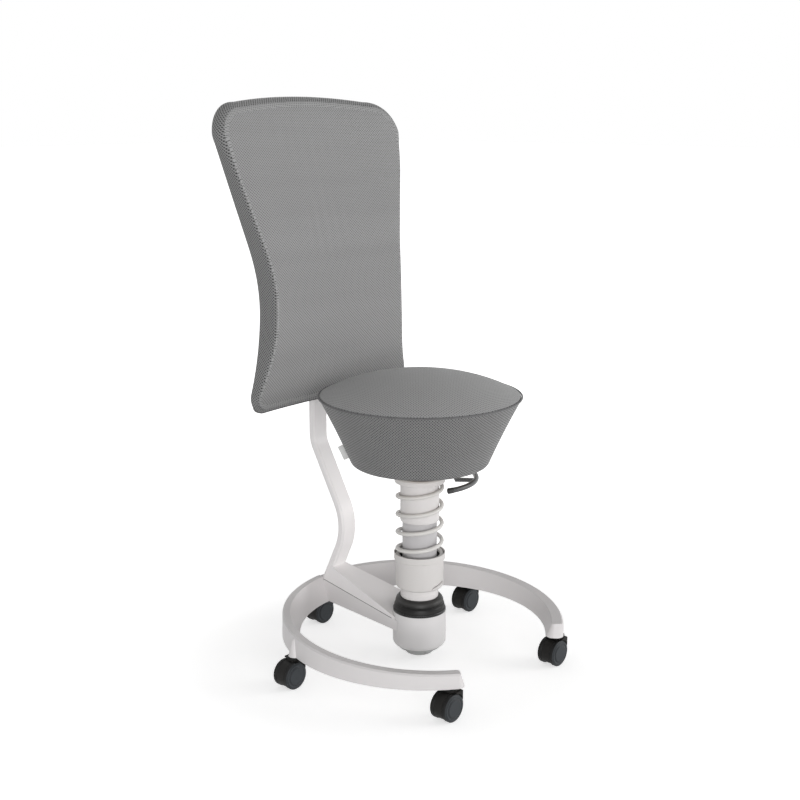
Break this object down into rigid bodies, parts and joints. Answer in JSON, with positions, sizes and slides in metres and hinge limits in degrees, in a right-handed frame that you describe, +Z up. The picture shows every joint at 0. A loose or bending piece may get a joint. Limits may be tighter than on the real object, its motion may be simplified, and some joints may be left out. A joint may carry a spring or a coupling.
{
  "type": "wobble stool with backrest",
  "caption": "Round padded stool on a leaning, sprung, height-adjustable column, with an open ring base on castors and a tall waisted padded backrest on a bent post.",
  "frame": {"origin": "on the floor under the middle of the column", "axes": "+Z up, the stool faces -Y with its backrest at +Y, +X is the sitter's left"},
  "size_m": [0.5882, 0.5908, 1.111],
  "materials": {
    "light_metal": "light grey powder coat",
    "grey_steel": "satin",
    "light_steel": "light grey powder coat",
    "black_steel": "satin black",
    "spring_wire": "light grey powder coat",
    "dark_rubber": "matt",
    "black_plastic": "fine grain",
    "grey_plastic": "satin",
    "board": "plain plywood",
    "seat_fabric": "grey diagonal knit",
    "back_fabric": "grey spacer mesh",
    "trim_fabric": "dark grey cord"
  },
  "bodies": {
    "base": {"base_frame": "light_metal", "back_post": "light_metal", "post_screws": "grey_steel", "lip_ring": "black_plastic", "lower_yoke": "grey_steel", "tilt_buffer": "dark_rubber", "back_pad": "back_fabric", "back_shell": "black_plastic", "back_screws": "grey_steel"},
    "gimbal": {"joint_cross": "grey_steel"},
    "column_lower": {"column_foot": "light_metal", "rubber_dome": "dark_rubber", "guide_tube": "grey_steel", "bump_stop": "dark_rubber", "coil_spring": "spring_wire"},
    "spring_collar": {"spring_cup": "light_metal"},
    "column_upper": {"upper_tube": "light_steel", "spring_plate": "light_steel", "guide_bush": "black_plastic", "top_bush": "black_plastic", "gas_carrier": "grey_steel", "thrust_bearing": "grey_steel"},
    "gas_spring_rod": {"gas_rod": "grey_steel"},
    "seat": {"gas_cylinder": "grey_steel", "seat_hub": "grey_steel", "lever_pin": "grey_steel", "hub_screws": "grey_steel", "seat_board": "board", "seat_cushion": "seat_fabric", "seat_piping": "trim_fabric", "seat_tag": "trim_fabric"},
    "release_lever": {"lever": "black_steel"},
    "valve": {"valve_pin": "grey_steel"},
    "firmness_knob": {"firmness_wheel": "grey_plastic"},
    "castor_right_front": {"castor_right_front_hood": "black_plastic", "castor_right_front_stem": "grey_steel", "castor_right_front_axle": "grey_steel"},
    "castor_right_front_wheel_left": {"castor_right_front_wheel_left": "black_plastic"},
    "castor_right_front_wheel_right": {"castor_right_front_wheel_right": "black_plastic"},
    "castor_left_front": {"castor_left_front_hood": "black_plastic", "castor_left_front_stem": "grey_steel", "castor_left_front_axle": "grey_steel"},
    "castor_left_front_wheel_left": {"castor_left_front_wheel_left": "black_plastic"},
    "castor_left_front_wheel_right": {"castor_left_front_wheel_right": "black_plastic"},
    "castor_right_rear": {"castor_right_rear_hood": "black_plastic", "castor_right_rear_stem": "grey_steel", "castor_right_rear_axle": "grey_steel"},
    "castor_right_rear_wheel_left": {"castor_right_rear_wheel_left": "black_plastic"},
    "castor_right_rear_wheel_right": {"castor_right_rear_wheel_right": "black_plastic"},
    "castor_left_rear": {"castor_left_rear_hood": "black_plastic", "castor_left_rear_stem": "grey_steel", "castor_left_rear_axle": "grey_steel"},
    "castor_left_rear_wheel_left": {"castor_left_rear_wheel_left": "black_plastic"},
    "castor_left_rear_wheel_right": {"castor_left_rear_wheel_right": "black_plastic"},
    "castor_back": {"castor_back_hood": "black_plastic", "castor_back_stem": "grey_steel", "castor_back_axle": "grey_steel"},
    "castor_back_wheel_left": {"castor_back_wheel_left": "black_plastic"},
    "castor_back_wheel_right": {"castor_back_wheel_right": "black_plastic"}
  },
  "joints": [
    {"name": "lean_fore_aft", "type": "hinge", "parent": "base", "child": "gimbal", "pos_m": [0, 0, 0.1015], "axis": [1, 0, 0], "range_deg": [-3, 12], "stiffness_Nm_per_rad": 300},
    {"name": "lean_side", "type": "hinge", "parent": "gimbal", "child": "column_lower", "pos_m": [0, 0, 0.1015], "axis": [0, 1, 0], "range_deg": [-12, 12], "stiffness_Nm_per_rad": 300},
    {"name": "bounce", "type": "slide", "parent": "column_lower", "child": "column_upper", "axis": [0, 0, 1], "range_m": [-0.055, 0], "stiffness_N_per_m": 15000, "springref_m": 0.02, "deforming": ["coil_spring"]},
    {"name": "collar_turn", "type": "hinge", "parent": "column_lower", "child": "spring_collar", "pos_m": [0, 0, 0.18], "axis": [0, 0, 1], "range_deg": [0, 90]},
    {"name": "seat_swivel", "type": "hinge", "parent": "column_upper", "child": "gas_spring_rod", "pos_m": [0, 0, 0.2], "axis": [0, 0, 1], "continuous": true},
    {"name": "seat_height", "type": "slide", "parent": "gas_spring_rod", "child": "seat", "axis": [0, 0, 1], "range_m": [0, 0.1]},
    {"name": "lever_lift", "type": "hinge", "parent": "seat", "child": "release_lever", "pos_m": [0.02517, -0.03109, 0.406], "axis": [-0.7771, -0.6293, 0], "range_deg": [0, 6], "stiffness_Nm_per_rad": 4, "springref_deg": -3.44},
    {"name": "valve_press", "type": "slide", "parent": "seat", "child": "valve", "axis": [0, 0, -1], "range_m": [0, 0.0047]},
    {"name": "firmness_turn", "type": "hinge", "parent": "base", "child": "firmness_knob", "pos_m": [0, 0, 0.03], "axis": [0, 0, 1], "range_deg": [0, 360]},
    {"name": "castor_right_front_swivel", "type": "hinge", "parent": "base", "child": "castor_right_front", "pos_m": [-0.1634, -0.22491, 0.06], "axis": [0, 0, 1], "continuous": true},
    {"name": "castor_right_front_wheel_left_spin", "type": "hinge", "parent": "castor_right_front", "child": "castor_right_front_wheel_left", "pos_m": [-0.1774, -0.22491, 0.0263], "axis": [0, 1, 0], "continuous": true},
    {"name": "castor_right_front_wheel_right_spin", "type": "hinge", "parent": "castor_right_front", "child": "castor_right_front_wheel_right", "pos_m": [-0.1774, -0.22491, 0.0263], "axis": [0, 1, 0], "continuous": true},
    {"name": "castor_left_front_swivel", "type": "hinge", "parent": "base", "child": "castor_left_front", "pos_m": [0.1634, -0.22491, 0.06], "axis": [0, 0, 1], "continuous": true},
    {"name": "castor_left_front_wheel_left_spin", "type": "hinge", "parent": "castor_left_front", "child": "castor_left_front_wheel_left", "pos_m": [0.1494, -0.22491, 0.0263], "axis": [0, 1, 0], "continuous": true},
    {"name": "castor_left_front_wheel_right_spin", "type": "hinge", "parent": "castor_left_front", "child": "castor_left_front_wheel_right", "pos_m": [0.1494, -0.22491, 0.0263], "axis": [0, 1, 0], "continuous": true},
    {"name": "castor_right_rear_swivel", "type": "hinge", "parent": "base", "child": "castor_right_rear", "pos_m": [-0.26439, 0.08591, 0.06], "axis": [0, 0, 1], "continuous": true},
    {"name": "castor_right_rear_wheel_left_spin", "type": "hinge", "parent": "castor_right_rear", "child": "castor_right_rear_wheel_left", "pos_m": [-0.27839, 0.08591, 0.0263], "axis": [0, 1, 0], "continuous": true},
    {"name": "castor_right_rear_wheel_right_spin", "type": "hinge", "parent": "castor_right_rear", "child": "castor_right_rear_wheel_right", "pos_m": [-0.27839, 0.08591, 0.0263], "axis": [0, 1, 0], "continuous": true},
    {"name": "castor_left_rear_swivel", "type": "hinge", "parent": "base", "child": "castor_left_rear", "pos_m": [0.26439, 0.08591, 0.06], "axis": [0, 0, 1], "continuous": true},
    {"name": "castor_left_rear_wheel_left_spin", "type": "hinge", "parent": "castor_left_rear", "child": "castor_left_rear_wheel_left", "pos_m": [0.25039, 0.08591, 0.0263], "axis": [0, 1, 0], "continuous": true},
    {"name": "castor_left_rear_wheel_right_spin", "type": "hinge", "parent": "castor_left_rear", "child": "castor_left_rear_wheel_right", "pos_m": [0.25039, 0.08591, 0.0263], "axis": [0, 1, 0], "continuous": true},
    {"name": "castor_back_swivel", "type": "hinge", "parent": "base", "child": "castor_back", "pos_m": [0, 0.278, 0.06], "axis": [0, 0, 1], "continuous": true},
    {"name": "castor_back_wheel_left_spin", "type": "hinge", "parent": "castor_back", "child": "castor_back_wheel_left", "pos_m": [-0.014, 0.278, 0.0263], "axis": [0, 1, 0], "continuous": true},
    {"name": "castor_back_wheel_right_spin", "type": "hinge", "parent": "castor_back", "child": "castor_back_wheel_right", "pos_m": [-0.014, 0.278, 0.0263], "axis": [0, 1, 0], "continuous": true}
  ],
  "couplings": [
    {"joint": "valve_press", "follows": "lever_lift", "m_per_rad": 0.0425}
  ]
}
